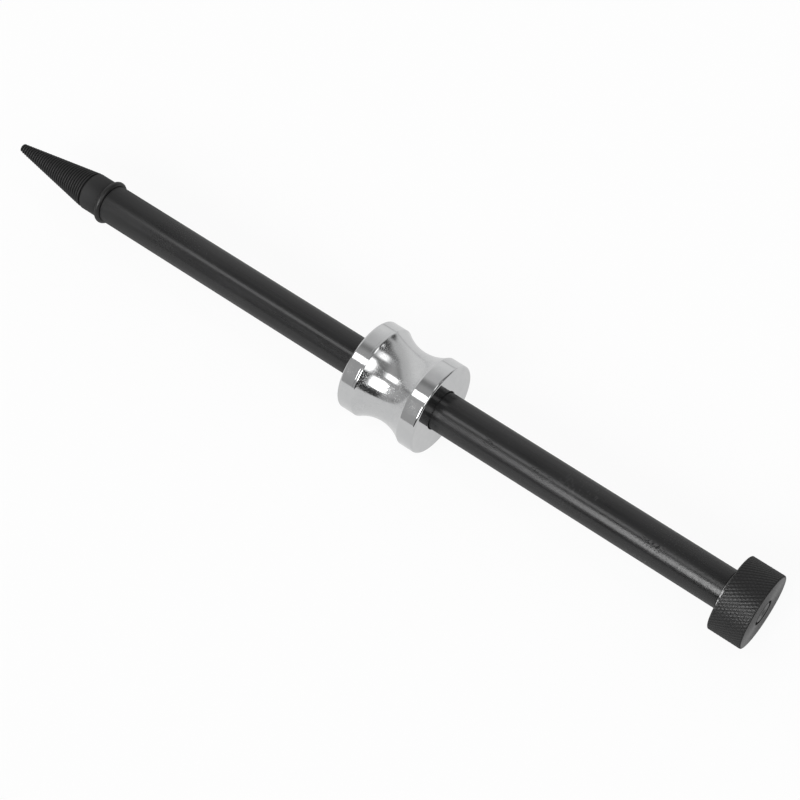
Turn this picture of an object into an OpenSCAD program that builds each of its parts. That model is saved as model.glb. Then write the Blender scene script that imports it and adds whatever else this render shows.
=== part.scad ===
// Slide hammer puller: a round rod with a taper screw tip at one end, a knurled
// stop knob at the other, and a heavy waisted weight that slides between them.
// The axis of the tool lies along X, from the screw tip at -X to the knob at +X.
// The origin is on that axis, at the middle of the whole length.

/* [Rod] */
// Diameter of the rod
rod_d = 22; // [20:0.5:26]
// Length of the rod between its two end faces
rod_len = 400.5; // [240:0.1:600]
// Width of the chamfer at both ends of the rod
rod_cham = 0.4; // [0.3:0.1:1.5]
// Diameter of the two studs that hold the tip and the knob
stud_d = 12; // [9:0.5:14]
// Width of the chamfer at the end of each stud
stud_cham = 0.5; // [0.2:0.1:1]
// Clearance all round a stud in its tapped hole
stud_gap = 0.05; // [0.02:0.01:0.1]
// Width of the countersink at the mouth of each tapped hole
sink_w = 1.2; // [0.3:0.1:1.6]

/* [Screw tip] */
// Length of the threaded taper
cone_len = 51.1; // [30:0.1:80]
// Diameter over the thread at the small end
cone_end_d = 5; // [4:0.1:8]
// Length from one turn of the left-hand thread to the next
pitch_len = 1.73; // [1.2:0.01:2.5]
// Depth of the thread
cone_depth = 0.75; // [0.3:0.05:0.9]
// Length of the relief groove between the thread and the shank
relief_len = 1.2; // [0.8:0.1:3]
// Depth of that groove, a little more than the depth of the thread
relief_depth = 0.85; // [0.4:0.05:1]
// Diameter of the plain shank
shank_d = 21.8; // [20.5:0.1:23]
// Length of the plain shank
shank_len = 11.4; // [6:0.1:40]
// Width of the small step up from the top of the thread to the shank
shank_step = 0.1; // [0.05:0.01:0.3]
// Width of the chamfer at the ring end of the shank
shank_cham = 0.3; // [0.1:0.1:0.8]
// Length of the stud that screws into the rod
tip_stud_len = 20; // [12:1:30]
// Length left free past the end of that stud in the rod
tip_room_len = 3; // [1:0.5:6]

/* [Buffer ring] */
// Thickness of the round section of the ring
ring_t = 3.5; // [2.5:0.1:4.5]
// Diameter of the neck that the ring sits on
neck_d = 18.4; // [16:0.1:19.4]
// Clearance between the ring and its neck, and on each side of it
ring_gap = 0.05; // [0.02:0.01:0.15]

/* [Slide weight] */
// Diameter of the two end lands
weight_d = 52.1; // [46:0.1:64]
// Length of the weight
weight_len = 48.8; // [36:0.1:80]
// Length of each end land
land_len = 9.8; // [5:0.1:14]
// Diameter at the middle of the waist
waist_d = 42.4; // [34:0.1:46]
// Width of the chamfer round each end face
weight_cham = 0.8; // [0.3:0.1:1.5]
// Width of the small bevel where each land meets the waist
land_bevel = 0.3; // [0.1:0.05:0.6]
// Running clearance all round the rod
weight_gap = 0.3; // [0.2:0.05:0.5]
// Width of the chamfer at each mouth of the bore
bore_cham = 1.1; // [0.3:0.1:1.5]
// Distance from the weight to the knob as the tool is shown
weight_stand = 175.7; // [2:0.1:345]

/* [Lock washer] */
// Outer diameter of the washer
washer_d = 21.1; // [18:0.1:23]
// Thickness of the washer
washer_t = 2; // [1.5:0.1:4]
// Clearance all round the stud
washer_gap = 0.12; // [0.05:0.01:0.3]
// Width of the split
split_w = 1.1; // [0.5:0.1:3]
// Slant of the split, in degrees
split_slant = 20; // [0:1:35]
// Place of the split round the axis, in degrees
split_turn = 215; // [0:5:355]

/* [Stop knob] */
// Diameter of the knob over the points of the knurl
knob_d = 42; // [34:0.5:52]
// Length of the knob
knob_len = 19; // [12:0.1:32]
// Length of the chamfer at each end of the knob
knob_cham = 0.7; // [0.2:0.05:1]
// Width of one knurl diamond, round the knob
knurl_w = 2; // [1.7:0.02:3]
// Length of one knurl diamond, along the knob
knurl_l = 3.5; // [2.4:0.1:6]
// Height of the knurl points above the grooves
knurl_h = 0.5; // [0.2:0.05:0.7]
// Depth of the stud's end below the knob's end face
stud_end_depth = 0.1; // [0.1:0.05:2]

/* [Hidden] */

// Smoothness of the round shapes
round_steps = 96;
// Sides of the taper screw
screw_steps = 30;
// Every cut runs this far past the face that it opens
over = 1;

// Places along the axis, from the tip to the knob
neck_len = ring_t + 2 * ring_gap;
tip_len = cone_len + relief_len + shank_len + neck_len;
total_len = tip_len + rod_len + washer_t + knob_len;
tip_x = -total_len / 2;
relief_x = tip_x + cone_len;
shank_x = relief_x + relief_len;
neck_x = shank_x + shank_len;
rod_x = neck_x + neck_len;
washer_x = rod_x + rod_len;
knob_x = washer_x + washer_t;
knob_end_x = knob_x + knob_len;
weight_x = knob_x - weight_stand - weight_len;

// Radii that several pieces share
rod_r = rod_d / 2;
stud_r = stud_d / 2;
hole_r = stud_r + stud_gap;
shank_r = shank_d / 2;
neck_r = neck_d / 2;

// Taper screw: its radius over the thread at both ends
cone_end_r = cone_end_d / 2;
cone_top_r = shank_r - shank_step;
// Outline of one turn: place along the pitch, and how much of the depth is cut there
turn_shares = [[0, 0], [0.24, 0], [0.64, 1]];
// Place in its first turn where the thread meets the end face
start_share = 0.755;
// Whole turns from the first, which is cut away, to the last, which lies in the shank
turns = ceil(cone_len / pitch_len) + 2;
// Share of the relief groove that is cut to its full depth, before it rises to the shank
floor_share = 0.55;

// Weight: the waist is one arc between the two lands
waist_len = weight_len - 2 * land_len;
waist_h = (weight_d - waist_d) / 2;
waist_r = (pow(waist_len / 2, 2) + pow(waist_h, 2)) / (2 * waist_h);

// Knurl: whole diamonds round the knob and along it
knurl_count = round(PI * knob_d / knurl_w);
knurl_len = knob_len - 2 * knob_cham;
knurl_rows = max(1, round(knurl_len / knurl_l));
knob_face_r = knob_d / 2 - knurl_h - knob_cham / 2;

// Turns a shape that is drawn along Z so that it lies along X, from x onwards, with its seam on top
module along(x) {
    translate([x, 0, 0]) rotate([180, 0, 0]) rotate([0, 90, 0]) children();
}

// A round bar from x, with a chamfer of the given width at each end
module bar(x, len, r, cham_low, cham_high) {
    along(x) rotate_extrude($fn = round_steps) polygon([
        [0, 0], [r - cham_low, 0], [r, cham_low],
        [r, len - cham_high], [r - cham_high, len], [0, len]
    ]);
}

// A tapped hole from its mouth at x, going towards +X, with a countersink at the mouth
module hole_from(x, len) {
    along(x - over) cylinder(h = len + over, r = hole_r, $fn = round_steps);
    along(x - over) cylinder(h = over + sink_w, r1 = hole_r + sink_w + over, r2 = hole_r, $fn = round_steps);
}

// The rod, tapped for the tip at -X and with the knob's stud at +X
module rod() {
    color([0.17, 0.17, 0.18]) {
        difference() {
            bar(rod_x, rod_len, rod_r, rod_cham, rod_cham);
            hole_from(rod_x, tip_stud_len + tip_room_len);
        }
        bar(washer_x - over, over + washer_t + knob_len - stud_end_depth, stud_r, 0, stud_cham);
    }
}

// Radius over the thread, at a distance s from the small end
function cone_r(s) = min(cone_top_r, cone_end_r + (cone_top_r - cone_end_r) * s / cone_len);

// One point of the screw: column i round the axis, and row j along the winding turns.
// The angle runs backwards, which makes the thread left-handed.
function screw_point(i, j) =
    let (count = len(turn_shares))
    let (share = turn_shares[j % count])
    let (s = pitch_len * (floor(j / count) - 1 + share[0] + i / screw_steps - start_share))
    let (r = cone_r(s) - cone_depth * share[1])
    let (angle = -360 * i / screw_steps)
    [tip_x + s, r * cos(angle), r * sin(angle)];

// The thread: a grid that follows its turns, closed by a point beyond each end
module screw_thread() {
    per_turn = len(turn_shares);
    rows = per_turn * turns;
    last = screw_steps - 1;
    col = rows + per_turn + 1;
    // Row j of column i, where the column after the last is column 0 one turn further on
    function at(i, j) = i > last ? j + per_turn : i * col + j;
    low_point = screw_steps * col;
    points = [
        for (i = [0:last]) for (j = [0:rows + per_turn]) screw_point(i, j),
        [tip_x - 2 * pitch_len, 0, 0], [tip_x + pitch_len * (turns + 1), 0, 0]
    ];
    low_rim = [for (j = [per_turn:-1:1]) at(0, j), for (i = [0:last]) at(i, 0)];
    high_rim = [for (j = [0:per_turn - 1]) at(0, rows + j), for (i = [last + 1:-1:1]) at(i, rows)];
    rim_len = len(low_rim);
    polyhedron(convexity = 4, points = points, faces = [
        for (i = [0:last]) for (j = [0:rows - 1]) [at(i + 1, j + 1), at(i + 1, j), at(i, j)],
        for (i = [0:last]) for (j = [0:rows - 1]) [at(i, j + 1), at(i + 1, j + 1), at(i, j)],
        for (k = [0:rim_len - 1]) [low_point, low_rim[(k + 1) % rim_len], low_rim[k]],
        for (k = [0:rim_len - 1]) [low_point + 1, high_rim[(k + 1) % rim_len], high_rim[k]]
    ]);
}

// The threaded taper, cut off square at its small end
module taper_screw() {
    cut_len = 3 * pitch_len;
    difference() {
        screw_thread();
        along(tip_x - cut_len) cylinder(h = cut_len, r = cone_end_r + over, $fn = round_steps);
    }
}

// The ring that is cut away between the thread and the shank: a flat floor, then a slope up
module relief_cut() {
    floor_r = cone_top_r - relief_depth;
    floor_len = relief_len * floor_share;
    rise = (relief_len - floor_len) / (shank_r - floor_r);
    along(relief_x) rotate_extrude($fn = round_steps) polygon([
        [floor_r, 0], [shank_r + over, 0], [shank_r + over, relief_len + over * rise], [floor_r, floor_len]
    ]);
}

// The screw tip: taper, relief groove, shank, neck for the ring, and the stud inside the rod
module screw_tip() {
    color([0.2, 0.2, 0.21]) {
        difference() {
            union() {
                taper_screw();
                bar(shank_x - relief_len / 2, relief_len / 2 + shank_len, shank_r, 0, shank_cham);
            }
            relief_cut();
        }
        bar(neck_x - over, neck_len + over, neck_r, 0, 0);
        bar(rod_x - over, tip_stud_len + over, stud_r, 0, stud_cham);
    }
}

// The rubber ring that softens the blow at the tip end
module buffer_ring() {
    color([0.12, 0.12, 0.12]) along(neck_x + neck_len / 2) rotate_extrude($fn = round_steps)
        translate([neck_r + ring_gap + ring_t / 2, 0]) circle(d = ring_t, $fn = round_steps);
}

// Half outline of the weight, along Y from 0, before the waist is cut
module weight_outline() {
    bore_r = rod_r + weight_gap;
    r = weight_d / 2;
    polygon([
        [bore_r + bore_cham, 0], [r - weight_cham, 0], [r, weight_cham],
        [r, land_len - land_bevel], [r - land_bevel, land_len],
        [r - land_bevel, weight_len - land_len], [r, weight_len - land_len + land_bevel],
        [r, weight_len - weight_cham], [r - weight_cham, weight_len],
        [bore_r + bore_cham, weight_len], [bore_r, weight_len - bore_cham], [bore_r, bore_cham]
    ]);
}

// The chromed weight, bored to slide on the rod
module slide_weight() {
    color([0.78, 0.79, 0.8]) along(weight_x) rotate_extrude($fn = round_steps) difference() {
        weight_outline();
        translate([waist_d / 2 + waist_r, weight_len / 2]) circle(r = waist_r, $fn = 2 * round_steps);
    }
}

// The split washer that keeps the knob from working loose
module lock_washer() {
    color([0.3, 0.3, 0.31]) difference() {
        bar(washer_x, washer_t, washer_d / 2, 0, 0);
        along(washer_x - over) cylinder(h = washer_t + 2 * over, r = stud_r + washer_gap, $fn = round_steps);
        translate([washer_x + washer_t / 2, 0, 0]) rotate([split_turn, 0, 0]) rotate([0, 0, split_slant])
            translate([-washer_t, -split_w / 2, 0]) cube([2 * washer_t, split_w, washer_d]);
    }
}

// One point of the knob's skin: column i round the axis, row j of the diamonds.
// Row -1 and the row past the last are the rims of the two end faces.
function knurl_point(i, j) =
    let (rows = 2 * knurl_rows)
    let (rim = j < 0 || j > rows)
    let (x = j < 0 ? 0 : j > rows ? knob_len : knob_cham + knurl_len * j / rows)
    let (r = rim ? knob_face_r : knob_d / 2 - knurl_h * ((i + j) % 2))
    let (angle = 180 * i / knurl_count)
    [knob_x + x, r * cos(angle), r * sin(angle)];

// The knob's solid with its knurled skin: each diamond is a low four-sided point
module knurled_body() {
    cols = 2 * knurl_count;
    rows = 2 * knurl_rows + 3;
    function at(i, j) = j * cols + i % cols;
    points = [for (j = [0:rows - 1]) for (i = [0:cols - 1]) knurl_point(i, j - 1)];
    sides = [
        for (j = [0:rows - 2]) for (i = [0:cols - 1]) for (half = [0, 1])
            (i + j) % 2 == 0
                ? (half == 0 ? [at(i, j), at(i + 1, j), at(i + 1, j + 1)]
                    : [at(i, j), at(i + 1, j + 1), at(i, j + 1)])
                : (half == 0 ? [at(i, j), at(i + 1, j), at(i, j + 1)]
                    : [at(i + 1, j), at(i + 1, j + 1), at(i, j + 1)])
    ];
    low_face = [for (i = [cols - 1:-1:0]) at(i, 0)];
    high_face = [for (i = [0:cols - 1]) at(i, rows - 1)];
    polyhedron(points = points, faces = concat(sides, [low_face, high_face]), convexity = 4);
}

// The stop knob, tapped right through and countersunk at both mouths
module stop_knob() {
    color([0.22, 0.22, 0.23]) difference() {
        knurled_body();
        hole_from(knob_x, knob_len + over);
        mirror([1, 0, 0]) hole_from(-knob_end_x, knob_len / 2);
    }
}

rod();
screw_tip();
buffer_ring();
slide_weight();
lock_washer();
stop_knob();
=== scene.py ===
import math

import bmesh
import bpy
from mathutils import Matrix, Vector


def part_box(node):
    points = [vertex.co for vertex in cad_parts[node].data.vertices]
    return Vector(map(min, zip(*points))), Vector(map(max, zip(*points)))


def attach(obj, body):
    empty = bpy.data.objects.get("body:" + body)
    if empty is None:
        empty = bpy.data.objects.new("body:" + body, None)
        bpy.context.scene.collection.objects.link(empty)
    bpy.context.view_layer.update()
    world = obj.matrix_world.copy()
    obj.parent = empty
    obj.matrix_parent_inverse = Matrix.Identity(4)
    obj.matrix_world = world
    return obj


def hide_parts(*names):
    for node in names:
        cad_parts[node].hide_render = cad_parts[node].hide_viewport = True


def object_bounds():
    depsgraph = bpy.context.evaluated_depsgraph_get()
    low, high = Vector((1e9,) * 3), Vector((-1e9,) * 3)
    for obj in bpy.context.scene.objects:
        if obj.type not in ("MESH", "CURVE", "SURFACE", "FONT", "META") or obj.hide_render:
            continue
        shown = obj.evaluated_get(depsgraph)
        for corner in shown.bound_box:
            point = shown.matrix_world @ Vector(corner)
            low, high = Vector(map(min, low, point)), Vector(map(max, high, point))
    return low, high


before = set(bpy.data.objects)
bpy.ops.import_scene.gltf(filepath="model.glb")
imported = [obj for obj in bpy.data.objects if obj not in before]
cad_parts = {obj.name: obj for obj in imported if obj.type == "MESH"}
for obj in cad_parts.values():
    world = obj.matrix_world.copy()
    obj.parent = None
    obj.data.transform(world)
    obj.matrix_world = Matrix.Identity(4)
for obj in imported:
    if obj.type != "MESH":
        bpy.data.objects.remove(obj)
cad_low, cad_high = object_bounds()

MM = 0.001

# Sizes of the pieces, from the frame
_, rod_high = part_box("rod")
tip_low, tip_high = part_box("screw_tip")
ring_low, ring_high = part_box("buffer_ring")
weight_low, weight_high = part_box("slide_weight")
washer_low, washer_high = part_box("lock_washer")
knob_low, knob_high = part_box("stop_knob")

RING_GAP = 0.05 * MM
ROD_R = rod_high.z
ROD_X = ring_high.x + RING_GAP
WASHER_X = washer_low.x
KNOB_X = knob_low.x
KNOB_END_X = knob_high.x
STUD_R = 6.0 * MM
STUD_CHAM = 0.5 * MM
STUD_GAP = 0.05 * MM
HOLE_R = STUD_R + STUD_GAP
SINK_W = 1.2 * MM
# Radius of an edge that is only broken
EDGE_R = 0.12 * MM

# Smoothness of the turned pieces
ROUND_STEPS = 256


# Mesh tools

def arc_corner(before, corner, after, radius, steps):
    """Points that round one corner of an outline.

    A close point on each side keeps the flats flat."""
    straight, cut_share, close_share, flat_share = math.radians(88), 0.4, 0.25, 0.2
    p, a, b = Vector(corner), Vector(before), Vector(after)
    u, v = (a - p).normalized(), (b - p).normalized()
    half = math.acos(max(-1.0, min(1.0, u.dot(v)))) / 2
    if half > straight:
        return [tuple(p)]
    shorter = min((a - p).length, (b - p).length)
    cut = min(radius / math.tan(half), cut_share * shorter)
    radius = cut * math.tan(half)
    centre = p + (u + v).normalized() * (radius / math.sin(half))
    start, end = p + u * cut - centre, p + v * cut - centre
    turn = start.angle_signed(end)
    close = min(close_share * cut, flat_share * shorter)
    points = [tuple(p + u * (cut + close))]
    for k in range(steps + 1):
        t = -turn * k / steps
        c, s = math.cos(t), math.sin(t)
        points.append((centre.x + c * start.x - s * start.y, centre.y + s * start.x + c * start.y))
    points.append(tuple(p + v * (cut + close)))
    return points


def rounded(outline, radius=EDGE_R, steps=3):
    """The outline with every corner rounded, apart from its two ends."""
    made = [outline[0]]
    for before, corner, after in zip(outline, outline[1:], outline[2:]):
        made += arc_corner(before, corner, after, radius, steps)
    return made + [outline[-1]]


def mesh_object(name, verts, faces, sharp=30):
    """A new object from points and faces, smooth except where faces meet at a sharp angle."""
    mesh = bpy.data.meshes.new(name)
    mesh.from_pydata([tuple(v) for v in verts], [], faces)
    mesh.validate()
    mesh.shade_smooth()
    mesh.set_sharp_from_angle(angle=math.radians(sharp))
    obj = bpy.data.objects.new(name, mesh)
    bpy.context.scene.collection.objects.link(obj)
    return obj


def revolve(outline, columns=ROUND_STEPS, closed=False):
    """Points and faces of an outline of (x, radius) turned round the X axis.

    A radius of 0 is a single point on the axis."""
    verts, faces, rings = [], [], []
    for x, r in outline:
        if r <= 0:
            rings.append([len(verts)] * columns)
            verts.append((x, 0, 0))
            continue
        rings.append(list(range(len(verts), len(verts) + columns)))
        for i in range(columns):
            angle = 2 * math.pi * i / columns
            verts.append((x, r * math.cos(angle), r * math.sin(angle)))
    pairs = list(zip(rings, rings[1:])) + ([(rings[-1], rings[0])] if closed else [])
    for low, high in pairs:
        for i in range(columns):
            k = (i + 1) % columns
            face = [low[i], high[i], high[k], low[k]]
            face = [p for n, p in enumerate(face) if p != face[n - 1]]
            if len(face) > 2:
                faces.append(face)
    return verts, faces


def arc(x0, x1, r_end, r_middle, steps):
    """Points of a hollow round arc from (x0, r_end) to (x1, r_end) that dips to r_middle."""
    half, dip = (x1 - x0) / 2, r_end - r_middle
    radius = (half * half + dip * dip) / (2 * dip)
    limit = math.asin(half / radius)
    centre = (x0 + x1) / 2
    angles = [limit * (2 * k / steps - 1) for k in range(steps + 1)]
    return [(centre + radius * math.sin(t), r_middle + radius - radius * math.cos(t)) for t in angles]


def bisect(bm, x, drop_below, drop_above):
    """Cuts the mesh at x, square to the axis, and drops what lies below or above."""
    return bmesh.ops.bisect_plane(
        bm, geom=bm.verts[:] + bm.edges[:] + bm.faces[:], dist=1e-7, plane_co=(x, 0, 0),
        plane_no=(1, 0, 0), clear_inner=drop_below, clear_outer=drop_above,
    )


def set_material(obj, *materials):
    """Gives the piece its materials, the first one to all its faces."""
    for m in materials:
        obj.data.materials.append(m)


def finish_piece(obj, body, node):
    """The piece rides on its body, and its CAD node is hidden."""
    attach(obj, body)
    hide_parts(node)
    return obj


# Material tools

def empty_material(name):
    """A material with nothing but its output node."""
    mat = bpy.data.materials.new(name)
    mat.use_nodes = True
    tree = mat.node_tree
    tree.nodes.clear()
    return mat, tree, tree.nodes.new("ShaderNodeOutputMaterial")


def new_material(name):
    """A material with a principled shader on its output."""
    mat, tree, out = empty_material(name)
    bsdf = tree.nodes.new("ShaderNodeBsdfPrincipled")
    tree.links.new(bsdf.outputs["BSDF"], out.inputs["Surface"])
    return mat, tree, bsdf


def coords(tree, stretch=(1, 1, 1)):
    """The piece's own coordinates, drawn out or pressed together along each axis."""
    place = tree.nodes.new("ShaderNodeTexCoord")
    mapping = tree.nodes.new("ShaderNodeMapping")
    mapping.inputs["Scale"].default_value = stretch
    tree.links.new(place.outputs["Object"], mapping.inputs["Vector"])
    return mapping.outputs["Vector"]


def noise(tree, vector, scale, detail=3.0, rough=0.55):
    n = tree.nodes.new("ShaderNodeTexNoise")
    n.inputs["Scale"].default_value = scale
    n.inputs["Detail"].default_value = detail
    n.inputs["Roughness"].default_value = rough
    tree.links.new(vector, n.inputs["Vector"])
    return n.outputs["Fac"]


def spread(tree, value, low, high, to_low=0.0, to_high=1.0):
    """The value, taken from low..high to to_low..to_high and held there past both ends."""
    m = tree.nodes.new("ShaderNodeMapRange")
    m.inputs["From Min"].default_value = low
    m.inputs["From Max"].default_value = high
    m.inputs["To Min"].default_value = to_low
    m.inputs["To Max"].default_value = to_high
    tree.links.new(value, m.inputs["Value"])
    return m.outputs["Result"]


def math_node(tree, operation, a, b=None):
    m = tree.nodes.new("ShaderNodeMath")
    m.operation = operation
    for socket, value in zip(m.inputs, (a, b)):
        if value is None:
            continue
        if isinstance(value, (int, float)):
            socket.default_value = value
        else:
            tree.links.new(value, socket)
    return m.outputs["Value"]


def times(tree, first, *others):
    """The product of all the values."""
    for value in others:
        first = math_node(tree, "MULTIPLY", first, value)
    return first


def plus(tree, first, *others):
    """The sum of all the values."""
    for value in others:
        first = math_node(tree, "ADD", first, value)
    return first


def band(tree, value, rise, fall):
    """1 between the two slopes, and 0 before the first and after the second."""
    return times(tree, spread(tree, value, *rise), spread(tree, value, *fall, 1, 0))


def grey(level, blue=None):
    """A grey colour, with its own blue part where it isn't quite neutral."""
    return (level, level, level if blue is None else blue)


def mix_color(tree, factor, a, b):
    m = tree.nodes.new("ShaderNodeMix")
    m.data_type = "RGBA"
    for name, value in (("Factor", factor), ("A", a), ("B", b)):
        socket = next(s for s in m.inputs if s.name == name and s.enabled)
        if isinstance(value, (int, float)):
            socket.default_value = value
        elif isinstance(value, tuple):
            socket.default_value = (*value, 1)
        else:
            tree.links.new(value, socket)
    return next(s for s in m.outputs if s.enabled)


def bump(tree, bsdf, height, distance, before=None):
    """Relief of the given height in metres, on top of any relief before it."""
    b = tree.nodes.new("ShaderNodeBump")
    b.inputs["Distance"].default_value = distance
    b.inputs["Strength"].default_value = 1.0
    tree.links.new(height, b.inputs["Height"])
    if before is not None:
        tree.links.new(before, b.inputs["Normal"])
    tree.links.new(b.outputs["Normal"], bsdf.inputs["Normal"])
    return b.outputs["Normal"]


def emission(tree, level):
    """A plain glow of the given strength."""
    glow = tree.nodes.new("ShaderNodeEmission")
    glow.inputs["Strength"].default_value = level
    return glow.outputs["Emission"]


def mix_shaders(tree, factor, first, second):
    """The first shader, with a share of the second over it."""
    mix = tree.nodes.new("ShaderNodeMixShader")
    for socket, source in zip(mix.inputs, (factor, first, second)):
        tree.links.new(source, socket)
    return mix.outputs["Shader"]


def axis_parts(tree):
    """The place along the axis, the distance from it and the angle round it."""
    place = tree.nodes.new("ShaderNodeTexCoord")
    split = tree.nodes.new("ShaderNodeSeparateXYZ")
    tree.links.new(place.outputs["Object"], split.inputs["Vector"])
    x, y, z = (split.outputs[k] for k in ("X", "Y", "Z"))
    square = plus(tree, times(tree, y, y), times(tree, z, z))
    return x, math_node(tree, "SQRT", square), math_node(tree, "ARCTAN2", z, y)


def painted_rim_shade(tree, bsdf, amount, outermost=0.0):
    """Painted shade: a dark layer that grows towards the rim, where the surface turns away from the view,
    to dim the shine there.
    """
    rim = tree.nodes.new("ShaderNodeLayerWeight")
    rim.inputs["Blend"].default_value = 0.5
    dark = tree.nodes.new("ShaderNodeBsdfDiffuse")
    dark.inputs["Color"].default_value = (*grey(0.006), 1)
    out = next(n for n in tree.nodes if n.type == "OUTPUT_MATERIAL")
    layer = spread(tree, rim.outputs["Facing"], 0.3, 0.75, 0, amount)
    layer = plus(tree, layer, spread(tree, rim.outputs["Facing"], 0.66, 0.79, 0, outermost))
    both = mix_shaders(tree, layer, bsdf.outputs["BSDF"], dark.outputs["BSDF"])
    tree.links.new(both, out.inputs["Surface"])


# Materials

def rod_material():
    """Satin blackened steel, with a few patches of pits, and scuffs that grow towards the knob."""
    # Patches of pits: middle and half length along the rod in mm, and the slopes at both sides round it
    patches = ((85, 7), (116, 8), (183, 9))
    pits_begin = [math.radians(t) for t in (108, 116)]
    pits_end = [math.radians(t) for t in (130, 136)]
    # Slopes along the rod: where its satin end ends, and where its worn end and its scuffs begin
    satin_end, worn_start, scuffed = (-0.19, -0.11), (0.14, 0.2), (0.12, 0.21)
    mat, tree, bsdf = new_material("rod_blackened")
    along, _, turn = axis_parts(tree)
    mottle = noise(tree, coords(tree, (0.6, 1, 1)), scale=1500, detail=4, rough=0.65)
    cloud = noise(tree, coords(tree, (0.35, 1, 1)), scale=70, detail=3, rough=0.5)
    drawn = noise(tree, coords(tree, (0.02, 1, 1)), scale=1500, detail=3, rough=0.6)
    pits = spread(tree, noise(tree, coords(tree), scale=1100, detail=2, rough=0.5), 0.54, 0.62)
    pitted = 0.0
    for middle, half in patches:
        near = math_node(tree, "ABSOLUTE", math_node(tree, "SUBTRACT", along, middle * MM))
        pitted = plus(tree, pitted, spread(tree, near, 0.5 * half * MM, half * MM, 1, 0))
    pits = times(tree, pits, pitted, band(tree, turn, pits_begin, pits_end))
    worn = spread(tree, along, *worn_start)
    smudge = noise(tree, coords(tree, (1, 0.4, 0.4)), scale=800, detail=3, rough=0.6)
    rubbed = noise(tree, coords(tree, (0.4, 1, 1)), scale=60, detail=2, rough=0.5)
    smudge = times(
        tree, spread(tree, smudge, 0.54, 0.72), spread(tree, rubbed, 0.5, 0.64),
        spread(tree, along, *scuffed, 0.05, 1),
    )
    base = mix_color(tree, spread(tree, cloud, 0.3, 0.7), grey(0.009, 0.0092), grey(0.014, 0.0143))
    base = mix_color(tree, spread(tree, drawn, 0.45, 0.75, 0, 0.5), base, grey(0.02, 0.0205))
    base = mix_color(tree, times(tree, smudge, 0.8), base, grey(0.12))
    tree.links.new(base, bsdf.inputs["Base Color"])
    rough = spread(tree, mottle, 0.3, 0.7, 0.14, 0.24)
    rough = plus(
        tree, rough, spread(tree, cloud, 0.3, 0.7, -0.02, 0.05), times(tree, pits, 0.1),
        spread(tree, along, *satin_end, 0.24, 0), times(tree, worn, 0.05),
    )
    tree.links.new(rough, bsdf.inputs["Roughness"])
    shine = times(tree, spread(tree, pits, 0, 1, 0.38, 0.06), spread(tree, along, *satin_end, 0.75, 1))
    tree.links.new(shine, bsdf.inputs["Specular IOR Level"])
    dents = noise(tree, coords(tree, (0.7, 1, 1)), scale=520, detail=2, rough=0.5)
    n = bump(tree, bsdf, mottle, 0.012 * MM)
    n = bump(tree, bsdf, times(tree, dents, worn), 0.05 * MM, before=n)
    n = bump(tree, bsdf, times(tree, mottle, worn), 0.03 * MM, before=n)
    n = bump(tree, bsdf, math_node(tree, "SUBTRACT", 1.0, pits), 0.03 * MM, before=n)
    bump(tree, bsdf, drawn, 0.004 * MM, before=n)
    painted_rim_shade(tree, bsdf, 0.48, 0.15)
    return mat


def tip_material():
    """Matte blackened steel, with painted shade in the grooves of the thread and crests painted lighter,
    partly rubbed wear and partly painted highlight.
    """
    mat, tree, bsdf = new_material("tip_blackened")
    mottle = noise(tree, coords(tree), scale=900, detail=4, rough=0.6)
    crest = tree.nodes.new("ShaderNodeAttribute")
    crest.attribute_name = "crest"
    # Crests painted lighter: partly rubbed wear, partly painted highlight
    rub_and_highlight = math_node(tree, "POWER", crest.outputs["Fac"], 2.0)
    groove_shade = math_node(tree, "SUBTRACT", 1.0, crest.outputs["Fac"])
    speck = spread(tree, noise(tree, coords(tree), scale=420, detail=2), 0.74, 0.8, 0, 0.35)
    base = mix_color(tree, spread(tree, mottle, 0.3, 0.7), grey(0.012, 0.0122), grey(0.018, 0.0183))
    base = mix_color(tree, times(tree, rub_and_highlight, 0.8), base, grey(0.024, 0.0244))
    # Painted shade: the grooves of the thread are darkened
    base = mix_color(tree, times(tree, groove_shade, 0.95), base, grey(0.002))
    base = mix_color(tree, times(tree, speck, rub_and_highlight), base, grey(0.12))
    tree.links.new(base, bsdf.inputs["Base Color"])
    tree.links.new(spread(tree, mottle, 0.3, 0.7, 0.46, 0.54), bsdf.inputs["Roughness"])
    # Painted shade: the grooves lose their shine, which grows towards the crests
    shine = spread(tree, crest.outputs["Fac"], 0, 0.7, 0.0, 0.23)
    tree.links.new(shine, bsdf.inputs["Specular IOR Level"])
    bump(tree, bsdf, mottle, 0.003 * MM)
    painted_rim_shade(tree, bsdf, 0.4)
    return mat


def rubber_material():
    """Satin black rubber with a fine grain and a little dust."""
    mat, tree, bsdf = new_material("ring_rubber")
    grain = noise(tree, coords(tree), scale=1400, detail=3)
    dust = spread(tree, noise(tree, coords(tree), scale=260, detail=3), 0.5, 0.75)
    base = mix_color(tree, dust, grey(0.008), grey(0.016, 0.0155))
    tree.links.new(base, bsdf.inputs["Base Color"])
    tree.links.new(spread(tree, grain, 0.3, 0.7, 0.34, 0.44), bsdf.inputs["Roughness"])
    bsdf.inputs["Specular IOR Level"].default_value = 0.38
    bump(tree, bsdf, grain, 0.01 * MM)
    painted_rim_shade(tree, bsdf, 0.5)
    return mat


def around_axis(tree, bsdf, amount):
    """Draws the shine out across the turning lines, which run round the X axis."""
    bsdf.inputs["Anisotropic"].default_value = amount
    bsdf.inputs["Anisotropic Rotation"].default_value = 0.25
    around = tree.nodes.new("ShaderNodeTangent")
    around.direction_type = "RADIAL"
    around.axis = "X"
    tree.links.new(around.outputs["Tangent"], bsdf.inputs["Tangent"])


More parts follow.
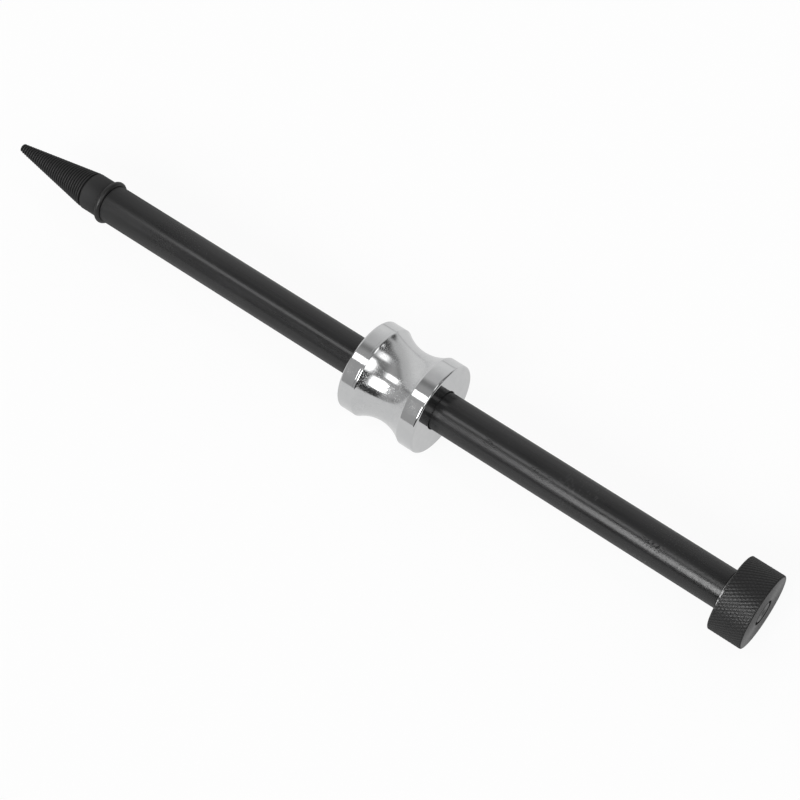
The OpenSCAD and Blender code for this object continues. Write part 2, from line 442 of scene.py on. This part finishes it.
def chrome_material(name, rough_low, rough_high, stretch, line_height, flecks=0.07):
    """Bright chrome over turned steel: fine lines round the axis, a faint grain and small dull flecks."""
    mat, tree, bsdf = new_material(name)
    bsdf.inputs["Metallic"].default_value = 1.0
    grain = noise(tree, coords(tree), scale=1500, detail=3, rough=0.6)
    haze = noise(tree, coords(tree), scale=160, detail=3)
    base = mix_color(tree, spread(tree, haze, 0.3, 0.7), (0.55, 0.555, 0.56), (0.585, 0.588, 0.59))
    tree.links.new(base, bsdf.inputs["Base Color"])
    fleck = noise(tree, coords(tree, (1, 0.6, 0.6)), scale=2600, detail=2, rough=0.5)
    worn = noise(tree, coords(tree), scale=110, detail=2, rough=0.5)
    dull = times(tree, spread(tree, fleck, 0.5, 0.66), spread(tree, worn, 0.3, 0.55), flecks)
    rough = plus(tree, spread(tree, grain, 0.35, 0.7, rough_low, rough_high), dull)
    tree.links.new(rough, bsdf.inputs["Roughness"])
    around_axis(tree, bsdf, stretch)
    turning = noise(tree, coords(tree, (1, 0.02, 0.02)), scale=4200, detail=2, rough=0.6)
    n = bump(tree, bsdf, turning, line_height)
    bump(tree, bsdf, grain, 0.006 * MM, before=n)
    return mat


def spring_steel_material():
    """Dull spring steel, ground round the axis."""
    mat, tree, bsdf = new_material("washer_steel")
    grain = noise(tree, coords(tree, (1, 0.4, 0.4)), scale=1800, detail=3)
    bsdf.inputs["Metallic"].default_value = 0.9
    base = mix_color(tree, spread(tree, grain, 0.3, 0.7), grey(0.12), grey(0.2))
    tree.links.new(base, bsdf.inputs["Base Color"])
    tree.links.new(spread(tree, grain, 0.3, 0.7, 0.3, 0.5), bsdf.inputs["Roughness"])
    bump(tree, bsdf, grain, 0.01 * MM)
    return mat


def knurl_material():
    """Blackened knurl: painted shade in the grooves, points painted lighter (rubbed wear and painted
    highlight), a rim painted lighter (wear and the painted shine of its chamfer), and painted glints on
    the rim beside the rod.
    """
    groove_deep = 0.19 * MM
    rim_worn, rim_black = KNOB_X + 0.3 * MM, KNOB_X + 0.8 * MM
    glints_begin = [math.radians(t) for t in (120, 123)]
    glints_end = [math.radians(t) for t in (141, 145)]
    mat, tree, bsdf = new_material("knob_knurl")
    along, distance, turn = axis_parts(tree)
    height = spread(tree, distance, knob_high.z - groove_deep, knob_high.z)
    near_rim = spread(tree, along, rim_worn, rim_black, 1, 0)
    # Painted highlight: light dashes on the rim, only in the band round the axis where the light falls on
    # it
    rim_glints = spread(tree, noise(tree, coords(tree), scale=700, detail=1), 0.42, 0.5)
    rim_glints = times(tree, rim_glints, band(tree, turn, glints_begin, glints_end))
    mottle = noise(tree, coords(tree), scale=1100, detail=4, rough=0.6)
    points = math_node(tree, "POWER", height, 4.0)
    # Points painted lighter: partly rubbed wear, partly painted highlight
    rub_and_highlight = times(tree, points, spread(tree, mottle, 0.35, 0.6, 0.3, 1))
    # Painted shade: darker down in the grooves, with less shine there below
    base = mix_color(tree, height, grey(0.007, 0.0071), grey(0.012, 0.0123))
    base = mix_color(tree, times(tree, rub_and_highlight, 0.3), base, grey(0.03, 0.0305))
    # The rim is painted lighter: partly wear, partly the painted shine of its chamfer
    worn = times(tree, near_rim, spread(tree, mottle, 0.4, 0.6, 0.2, 1))
    base = mix_color(tree, worn, base, grey(0.07))
    # Painted highlight: the glints on the rim
    base = mix_color(tree, times(tree, near_rim, rim_glints), base, grey(0.6))
    tree.links.new(base, bsdf.inputs["Base Color"])
    tree.links.new(spread(tree, mottle, 0.3, 0.7, 0.36, 0.44), bsdf.inputs["Roughness"])
    tree.links.new(spread(tree, height, 0, 1, 0.26, 0.34), bsdf.inputs["Specular IOR Level"])
    bump(tree, bsdf, mottle, 0.006 * MM)
    painted_rim_shade(tree, bsdf, 0.5)
    return mat


def hole_shade_material():
    """Painted shade: near-black with little shine, for the knob's countersink and hole, which lie in
    shadow.
    """
    mat, tree, bsdf = new_material("knob_hole_shade")
    grain = noise(tree, coords(tree), scale=900, detail=3)
    base = mix_color(tree, grain, grey(0.002), grey(0.006))
    tree.links.new(base, bsdf.inputs["Base Color"])
    bsdf.inputs["Roughness"].default_value = 0.7
    bsdf.inputs["Specular IOR Level"].default_value = 0.1
    bump(tree, bsdf, grain, 0.01 * MM)
    return mat


def turned_material():
    """Satin turned steel: fine rings round the axis with the drawn-out shine that they give, and a
    painted highlight of two lighter lobes in its colour.
    """
    mat, tree, bsdf = new_material("turned_face")
    # Painted highlight: the colour is lighter in two opposite lobes round the axis, the bow-tie shine of
    # a turned face
    shine_lobe_turn = math.radians(28)
    _, distance, turn = axis_parts(tree)
    from_lobe = math_node(tree, "SUBTRACT", turn, shine_lobe_turn)
    painted_shine_lobes = math_node(tree, "COSINE", times(tree, from_lobe, 2.0))
    rings = tree.nodes.new("ShaderNodeTexNoise")
    rings.noise_dimensions = "1D"
    rings.inputs["Scale"].default_value = 4200
    rings.inputs["Detail"].default_value = 3
    tree.links.new(distance, rings.inputs["W"])
    bsdf.inputs["Metallic"].default_value = 1.0
    base = mix_color(tree, spread(tree, rings.outputs["Fac"], 0.3, 0.7), grey(0.028), grey(0.042))
    base = mix_color(tree, spread(tree, painted_shine_lobes, 0.2, 1, 0, 0.7), base, grey(0.062))
    tree.links.new(base, bsdf.inputs["Base Color"])
    around_axis(tree, bsdf, 0.6)
    grain = noise(tree, coords(tree), scale=900, detail=3)
    tree.links.new(spread(tree, grain, 0.3, 0.7, 0.3, 0.4), bsdf.inputs["Roughness"])
    bump(tree, bsdf, rings.outputs["Fac"], 0.003 * MM)
    painted_rim_shade(tree, bsdf, 0.35)
    return mat


# Pieces

def make_rod():
    """The rod, with its tapped hole at one end and the knob's stud at the other."""
    cham, room = 0.12 * MM, 3 * MM
    dimple_r, dimple_share = 2.2 * MM, 0.3
    hole_end = tip_high.x + room
    end = rod_high.x
    outline = rounded([
        (hole_end, 0), (hole_end, HOLE_R), (ROD_X + SINK_W, HOLE_R), (ROD_X, HOLE_R + SINK_W),
        (ROD_X, ROD_R - cham), (ROD_X + cham, ROD_R), (WASHER_X - cham, ROD_R), (WASHER_X, ROD_R - cham),
        (WASHER_X, STUD_R), (end - STUD_CHAM, STUD_R), (end, STUD_R - STUD_CHAM),
        (end, dimple_r), (end - dimple_share * dimple_r, 0),
    ])
    obj = mesh_object("rod_bar", *revolve(outline))
    set_material(obj, rod_material(), TURNED)
    bright_r = STUD_R - STUD_CHAM - EDGE_R
    for face in obj.data.polygons:
        c = face.center
        face.material_index = 1 if c.x > end - MM and math.hypot(c.y, c.z) < bright_r else 0
    return finish_piece(obj, "shaft", "rod")


def make_tip():
    """The screw tip: left-hand thread, relief groove, shank, the ring's neck and the stud."""
    pitch, depth, step = 1.73 * MM, 0.75 * MM, 0.1 * MM
    relief_len, relief_depth, floor_share = 1.2 * MM, 0.85 * MM, 0.55
    end_r, shank_r, neck_r = 2.5 * MM, tip_high.z, 9.2 * MM
    shank_len, shank_cham, corner_r = 11.4 * MM, 0.3 * MM, 0.1 * MM
    neck_x = ring_low.x - RING_GAP
    shank_x = neck_x - shank_len
    relief_x = shank_x - relief_len
    taper_len = relief_x - tip_low.x
    top_r = shank_r - step
    columns, start_share = 96, 0.755
    # One turn of the thread: place along the pitch, and how much of the depth is cut there
    turn_shares = [(0, 0.04), (0.05, 0), (0.19, 0), (0.24, 0.04), (0.6, 0.94), (0.64, 1), (0.68, 0.94)]
    turns = math.ceil(taper_len / pitch) + 2

    # Rows that follow the thread, cut square at both ends
    rows, verts, crest = len(turn_shares) * turns, [], []
    for j in range(rows + 1):
        turn, k = divmod(j, len(turn_shares))
        place, cut = turn_shares[k]
        for i in range(columns):
            s = pitch * (turn - 1 + place + i / columns - start_share)
            r = min(top_r, end_r + (top_r - end_r) * s / taper_len) - depth * cut
            angle = -2 * math.pi * i / columns
            verts.append((tip_low.x + s, r * math.cos(angle), r * math.sin(angle)))
            crest.append(1 - cut)
    per_turn = len(turn_shares)

    def at(i, j):
        return (j + per_turn) * columns if i == columns else j * columns + i

    faces = []
    for j in range(rows):
        for i in range(columns):
            if i == columns - 1 and j + per_turn + 1 > rows:
                continue
            faces.append([at(i + 1, j), at(i + 1, j + 1), at(i, j + 1), at(i, j)])
    thread = mesh_object("screw_tip_thread", verts, faces, 35)
    attribute = thread.data.attributes.new("crest", "FLOAT", "POINT")
    attribute.data.foreach_set("value", crest[:len(thread.data.vertices)])
    cut_square(thread, tip_low.x, True)
    cut_square(thread, relief_x, False)

    relief_r = top_r - relief_depth
    outline = rounded([
        (relief_x, 0), (relief_x, relief_r), (relief_x + relief_len * floor_share, relief_r),
        (shank_x, shank_r), (neck_x - shank_cham, shank_r), (neck_x, shank_r - shank_cham),
        (neck_x, neck_r), (ROD_X, neck_r), (ROD_X, STUD_R), (tip_high.x - STUD_CHAM, STUD_R),
        (tip_high.x, STUD_R - STUD_CHAM), (tip_high.x, 0),
    ], corner_r)
    shank = mesh_object("screw_tip_shank", *revolve(outline))
    plain = shank.data.attributes.new("crest", "FLOAT", "POINT")
    # The relief gets painted shade, the first edge of the shank is painted lighter, and the rest lies
    # between
    relief_shade_value, edge_value, shank_value = 0.4, 1, 0.6
    edge_low, edge_high = shank_x - 0.1 * MM, shank_x + 0.2 * MM
    plain.data.foreach_set("value", [
        relief_shade_value if v.co.x < edge_low else edge_value if v.co.x < edge_high else shank_value
        for v in shank.data.vertices
    ])
    metal = tip_material()
    set_material(thread, metal)
    set_material(shank, metal)
    finish_piece(shank, "shaft", "screw_tip")
    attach(thread, "shaft")


def cut_square(obj, x, keep_above):
    """Cuts the mesh off at x, square to the axis, and closes it there."""
    bm = bmesh.new()
    bm.from_mesh(obj.data)
    cut = bisect(bm, x, keep_above, not keep_above)
    rim = [e for e in cut["geom_cut"] if isinstance(e, bmesh.types.BMEdge)]
    bmesh.ops.contextual_create(bm, geom=rim)
    bm.to_mesh(obj.data)
    bm.free()
    obj.data.shade_smooth()
    obj.data.set_sharp_from_angle(angle=math.radians(35))


def make_ring():
    """The buffer ring, a round section turned round the axis."""
    half = (ring_high.x - ring_low.x) / 2
    centre_x, centre_r = ring_low.x + half, ring_high.z - half
    steps = 48
    angles = [2 * math.pi * k / steps for k in range(steps)]
    outline = [(centre_x - half * math.cos(t), centre_r - half * math.sin(t)) for t in angles]
    obj = mesh_object("buffer_ring_rubber", *revolve(outline, closed=True))
    set_material(obj, rubber_material())
    return finish_piece(obj, "shaft", "buffer_ring")


def make_weight():
    """The chromed weight: two lands, the hollow waist between them, and the bore."""
    land, waist_r, edge, bevel = 9.8 * MM, 21.2 * MM, 0.8 * MM, 0.15 * MM
    line_at, line_half, line_deep = 8.4 * MM, 0.12 * MM, 0.04 * MM
    gap, bore_edge, soft_r, at_face = 0.3 * MM, 0.5 * MM, MM, 0.05 * MM
    bore_r = ROD_R + gap
    x0, x1, r = weight_low.x, weight_high.x, weight_high.z
    face_r = r - edge
    waist = arc(x0 + land, x1 - land, r, waist_r, 72)
    waist = [p for p in waist if p[1] < r - bevel * 0.6]
    left = rounded([
        (x0 + bore_edge, bore_r), (x0, bore_r + bore_edge), (x0, face_r), (x0 + edge, r),
        (x0 + line_at - line_half, r), (x0 + line_at, r - line_deep), (x0 + line_at + line_half, r),
        (x0 + land - bevel, r), waist[0],
    ], soft_r, 6)
    right = rounded([
        waist[-1], (x1 - land + bevel, r), (x1 - edge, r), (x1, face_r),
        (x1, bore_r + bore_edge), (x1 - bore_edge, bore_r),
    ], soft_r, 6)
    obj = mesh_object("slide_weight_chrome", *revolve(left + waist[1:-1] + right, closed=True))
    bright = chrome_material("weight_land", 0.05, 0.1, 0.3, 0.0015 * MM)
    turned = chrome_material("weight_waist", 0.11, 0.17, 0.85, 0.002 * MM, 0.2)
    face = chrome_material("weight_face", 0.09, 0.13, 0.3, 0.001 * MM, 0)
    set_material(obj, bright, turned, face)
    for polygon in obj.data.polygons:
        c = polygon.center
        hollow = waist[0][0] < c.x < waist[-1][0] and math.hypot(c.y, c.z) > bore_r + MM
        at_end = min(c.x - x0, x1 - c.x) < at_face
        polygon.material_index = 1 if hollow else 2 if at_end else 0
    return finish_piece(obj, "weight", "slide_weight")


def make_washer():
    """The split spring washer, cut through on a slant."""
    gap = 0.12 * MM
    outer, inner = washer_high.z, STUD_R + gap
    split, slant, place = 1.1 * MM, math.radians(20), math.radians(305)
    x0, x1, columns = washer_low.x, washer_high.x, 160
    edge = 0.06 * MM
    section = [
        (x0, inner + edge), (x0, outer - edge), (x0 + edge, outer), (x1 - edge, outer),
        (x1, outer - edge), (x1, inner + edge), (x1 - edge, inner), (x0 + edge, inner),
    ]
    half_split = split / outer / 2
    verts, faces = [], []
    for i in range(columns + 1):
        turn = place + half_split + (2 * math.pi - 2 * half_split) * i / columns
        for x, r in section:
            angle = turn + (x - (x0 + x1) / 2) * math.tan(slant) / outer
            verts.append((x, r * math.cos(angle), r * math.sin(angle)))
    count = len(section)
    for i in range(columns):
        for k in range(count):
            n = (k + 1) % count
            faces.append([i * count + k, i * count + n, (i + 1) * count + n, (i + 1) * count + k])
    faces.append(list(range(count))[::-1])
    faces.append([columns * count + k for k in range(count)])
    obj = mesh_object("lock_washer_spring", verts, faces)
    set_material(obj, spring_steel_material())
    return finish_piece(obj, "shaft", "lock_washer")


def knurl_skin(r, depth, cham, face_r):
    """The knurled skin: flat-topped diamonds between two crossing sets of grooves, with rounded ends."""
    width, leads = 2.0 * MM, (3.2 * MM, 3.5 * MM)
    shares, groove_share = (1.0, 0.45), 0.75
    count = round(2 * math.pi * r / width)
    fine = 8
    start = KNOB_X + cham
    step = 1 / (fine * (1 / leads[0] + 1 / leads[1]))
    low = math.floor(-cham / step) - 2
    high = math.ceil((KNOB_END_X - start) / step) + 2
    half = fine * count

    def cut_depth(x, angle):
        """How much of the depth is cut: the deeper of the two crossing cuts."""
        around, along = angle * count / (2 * math.pi), x - start
        deepest = 0
        for way, lead, share in zip((1, -1), leads, shares):
            from_groove = 1 - abs(2 * ((around + way * along / lead) % 1) - 1)
            deepest = max(deepest, share * (1 - from_groove / groove_share))
        return deepest

    bm = bmesh.new()
    grid = []
    for j in range(low, high + 1):
        x = start + j * step
        row = []
        for k in range(half):
            turn = ((2 * k + j % 2 - j) / (2 * fine) + (x - start) / leads[1]) * 2 * math.pi / count
            row.append(bm.verts.new((x, r * math.cos(turn), r * math.sin(turn))))
        grid.append(row)
    for n in range(1, len(grid) - 1):
        odd = (low + n) % 2
        for k in range(half):
            left, right = grid[n][k], grid[n][(k + 1) % half]
            side = (k + odd) % half
            bm.faces.new([grid[n - 1][side], left, grid[n + 1][side], right])
    groove_in = cham * (r - depth - face_r) / (r - face_r)
    for x, sense in (
        (KNOB_X, -1), (KNOB_END_X, 1), (KNOB_X + cham, 0), (KNOB_END_X - cham, 0),
        (KNOB_X + groove_in, 0), (KNOB_END_X - groove_in, 0),
    ):
        bisect(bm, x, sense < 0, sense > 0)
    for v in bm.verts:
        x, angle = v.co.x, math.atan2(v.co.z, v.co.y)
        near_end = min(x - KNOB_X, KNOB_END_X - x)
        inward = 1 - max(0, min(1, near_end / cham))
        chamfer = face_r + (r - face_r) * math.sqrt(1 - inward * inward)
        here = min(r - depth * cut_depth(x, angle), chamfer)
        v.co = Vector((x, here * math.cos(angle), here * math.sin(angle)))
    mesh = bpy.data.meshes.new("stop_knob_knurled")
    bm.to_mesh(mesh)
    bm.free()
    mesh.shade_smooth()
    mesh.set_sharp_from_angle(angle=math.radians(40))
    obj = bpy.data.objects.new("stop_knob_knurled", mesh)
    bpy.context.scene.collection.objects.link(obj)
    return obj


def make_knob():
    """The stop knob: its knurled skin, and turned end faces with a countersunk hole."""
    r, cham, depth, worn_share = knob_high.z, 0.7 * MM, 0.5 * MM, 0.38
    face_r = r - depth - cham / 2
    black = knurl_material()
    skin = knurl_skin(r, worn_share * depth, cham, face_r)
    set_material(skin, black)
    finish_piece(skin, "shaft", "stop_knob")

    mouth_r = HOLE_R + SINK_W
    outline = rounded([
        (KNOB_END_X, face_r), (KNOB_END_X, mouth_r), (KNOB_END_X - SINK_W, HOLE_R),
        (KNOB_X + SINK_W, HOLE_R), (KNOB_X, mouth_r), (KNOB_X, face_r),
    ])
    obj = mesh_object("stop_knob_faces", *revolve(outline), 40)
    set_material(obj, TURNED, hole_shade_material())
    for face in obj.data.polygons:
        c = face.center
        # The countersink and hole take the painted shade
        face.material_index = 0 if math.hypot(c.y, c.z) > mouth_r else 1
    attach(obj, "shaft")


# Stage: floor, room, front cards, camera

FLOOR_Z = cad_low.z
# How bright the white is to the camera and in a mirror, and the room round the light boxes
WHITE = 0.99
MIRRORED_WHITE = 0.86
BACKDROP = 0.92


def make_floor():
    """A wide pale floor, almost white to the camera, that keeps a light shadow of the object."""
    half = 12
    corners = [(x * half, y * half, FLOOR_Z) for x, y in ((-1, -1), (1, -1), (1, 1), (-1, 1))]
    obj = mesh_object("floor", corners, [[0, 1, 2, 3]])
    mat, tree, out = empty_material("floor_white")
    plain = tree.nodes.new("ShaderNodeBsdfDiffuse")
    plain.inputs["Color"].default_value = (*grey(0.87), 1)
    path = tree.nodes.new("ShaderNodeLightPath")
    shader = plain.outputs["BSDF"]
    for ray, share, level in (("Is Camera Ray", 0.92, WHITE), ("Is Glossy Ray", 0.75, MIRRORED_WHITE)):
        over = times(tree, path.outputs[ray], share)
        shader = mix_shaders(tree, over, shader, emission(tree, level))
    tree.links.new(shader, out.inputs["Surface"])
    obj.data.materials.append(mat)


def window(tree, place, low, high, soft):
    """1 where the place lies between low and high, falling to 0 over the soft width at both ends."""
    rise = spread(tree, place, low - soft / 2, low + soft / 2)
    fall = spread(tree, place, high - soft / 2, high + soft / 2, 1, 0)
    for part in (rise, fall):
        part.node.interpolation_type = "SMOOTHSTEP"
    return times(tree, rise, fall)


def make_world():
    """A soft grey room with a pale backdrop and light boxes; the camera sees white behind the object.

    Each window gives the angle round the X axis from +Y in degrees, the share of the way to +X,
    how soft its edges are in both, how bright it is, and by how many degrees it leans back over
    that share, which counts double past the bend."""
    bend_at = 0.11
    windows = [
        # The unlit room, darker as the turn grows, and less so towards the tip
        ((20, 400), (-2, 2), (50, 0.1), 0.66, 36),
        ((57, 400), (-2, 2), (16, 0.1), 0.28, 36),
        ((72, 400), (-2, 0.05), (13, 0.3), 0.46, 36),
        # A grey strip low at the back, where the floor ends
        ((-40, 3), (-2, 2), (12, 0.1), 0.55, 0),
        # Dark things towards the knob
        ((7, 24), (0.33, 2), (9, 0.12), 0.06, 0),
        ((33, 66), (0.39, 2), (14, 0.16), 0.08, 0),
        # A soft lamp and a small bright spot
        ((70, 86.5), (0.22, 0.64), (9, 0.3), 2.2, 0),
        ((47, 56), (0.61, 0.72), (5, 0.06), 2.4, 0),
        # A dark gap between the boxes
        ((102, 130), (0.08, 0.5), (12, 0.12), 0.2, 0),
        # The soft box towards the knob, wider in its middle
        ((97, 134), (0.6, 0.89), (10, 0.08), 3.2, 0),
        ((104, 126), (0.52, 0.89), (12, 0.08), 3.2, 0),
        # The soft box in front, and its brighter half
        ((135, 163), (-0.24, 0.4), (6, 0.1), 3.0, 0),
        ((137, 162), (-0.22, 0.1), (4, 0.04), 13.0, 0),
        # A narrow box overhead
        ((109.5, 124), (-0.58, -0.06), (1.5, 0.14), 3.2, 0),
        # The dark side of the room, low in front
        ((136, 200), (0.44, 0.86), (8, 0.08), 0.03, 0),
        ((167, 200), (-0.2, 0.5), (8, 0.08), 0.05, 0),
        ((174, 200), (-0.85, -0.6), (6, 0.1), 0.2, 0),
        # Nearly along the axis, where the bevels face
        ((10, 180), (0.91, 2), (20, 0.03), 0.1, 0),
    ]
    world = bpy.data.worlds.new("studio")
    bpy.context.scene.world = world
    world.use_nodes = True
    tree = world.node_tree
    tree.nodes.clear()
    out = tree.nodes.new("ShaderNodeOutputWorld")
    way = tree.nodes.new("ShaderNodeTexCoord")
    split = tree.nodes.new("ShaderNodeSeparateXYZ")
    tree.links.new(way.outputs["Generated"], split.inputs["Vector"])
    turn = math_node(tree, "ARCTAN2", split.outputs["Z"], split.outputs["Y"])
    turn = math_node(tree, "DEGREES", turn)
    past = math_node(tree, "MINIMUM", plus(tree, split.outputs["X"], bend_at), 0.0)
    bent = plus(tree, split.outputs["X"], past)
    level = None
    for turn_range, x_range, soft, bright, lean in windows:
        leaning = plus(tree, turn, times(tree, bent, lean))
        inside = times(
            tree, window(tree, leaning, *turn_range, soft[0]),
            window(tree, split.outputs["X"], *x_range, soft[1]),
        )
        blend = tree.nodes.new("ShaderNodeMix")
        blend.data_type = "FLOAT"
        tree.links.new(inside, blend.inputs[0])
        blend.inputs[2].default_value = BACKDROP
        blend.inputs[3].default_value = bright
        if level is not None:
            tree.links.new(level, blend.inputs[2])
        level = blend.outputs[0]
    room = tree.nodes.new("ShaderNodeBackground")
    tree.links.new(level, room.inputs["Strength"])
    room.inputs["Color"].default_value = (1, 1, 1, 1)
    white = tree.nodes.new("ShaderNodeBackground")
    white.inputs["Color"].default_value = (*grey(WHITE), 1)
    path = tree.nodes.new("ShaderNodeLightPath")
    both = mix_shaders(
        tree, path.outputs["Is Camera Ray"], room.outputs["Background"], white.outputs["Background"],
    )
    tree.links.new(both, out.inputs["Surface"])


# The two front cards reach this far along X, and meet at the seam
CARD_REACH, CARD_SEAM = 3, -0.04


def make_front_card(name, low, high, level):
    """A low card in front of the object: the chrome mirrors it as the front edge of the white floor."""
    front, top = -0.39, 0.02  # place along Y, and height of the upper edge
    obj = mesh_object(name, [
        (low, front, FLOOR_Z), (high, front, FLOOR_Z), (high, front, top), (low, front, top),
    ], [[0, 1, 2, 3]])
    mat, tree, out = empty_material(name)
    tree.links.new(emission(tree, level), out.inputs["Surface"])
    obj.data.materials.append(mat)
    obj.visible_camera = False
    obj.visible_diffuse = False
    obj.visible_shadow = False


def make_camera():
    """The photograph's view: its place, direction and focal length were fitted to the outline."""
    place = Vector((0.39105, -0.48512, 0.8979))
    azimuth, elevation = math.radians(37.215), math.radians(56.273)
    sensor, lens = 36, 93.56
    level = math.cos(elevation)
    back = Vector((math.sin(azimuth) * level, -math.cos(azimuth) * level, math.sin(elevation)))
    data = bpy.data.cameras.new("photo_camera")
    data.sensor_width = sensor
    data.lens = lens
    cam = bpy.data.objects.new("photo_camera", data)
    bpy.context.scene.collection.objects.link(cam)
    cam.location = place
    cam.rotation_mode = "QUATERNION"
    cam.rotation_quaternion = (-back).to_track_quat("-Z", "Y")
    bpy.context.scene.camera = cam


make_camera()
TURNED = turned_material()
make_rod()
make_tip()
make_ring()
make_weight()
make_washer()
make_knob()
make_floor()
make_world()
make_front_card("front_grey", -CARD_REACH, CARD_SEAM, 0.45)
make_front_card("front_dark", CARD_SEAM, CARD_REACH, 0.04)
bpy.context.scene.view_settings.view_transform = "Standard"
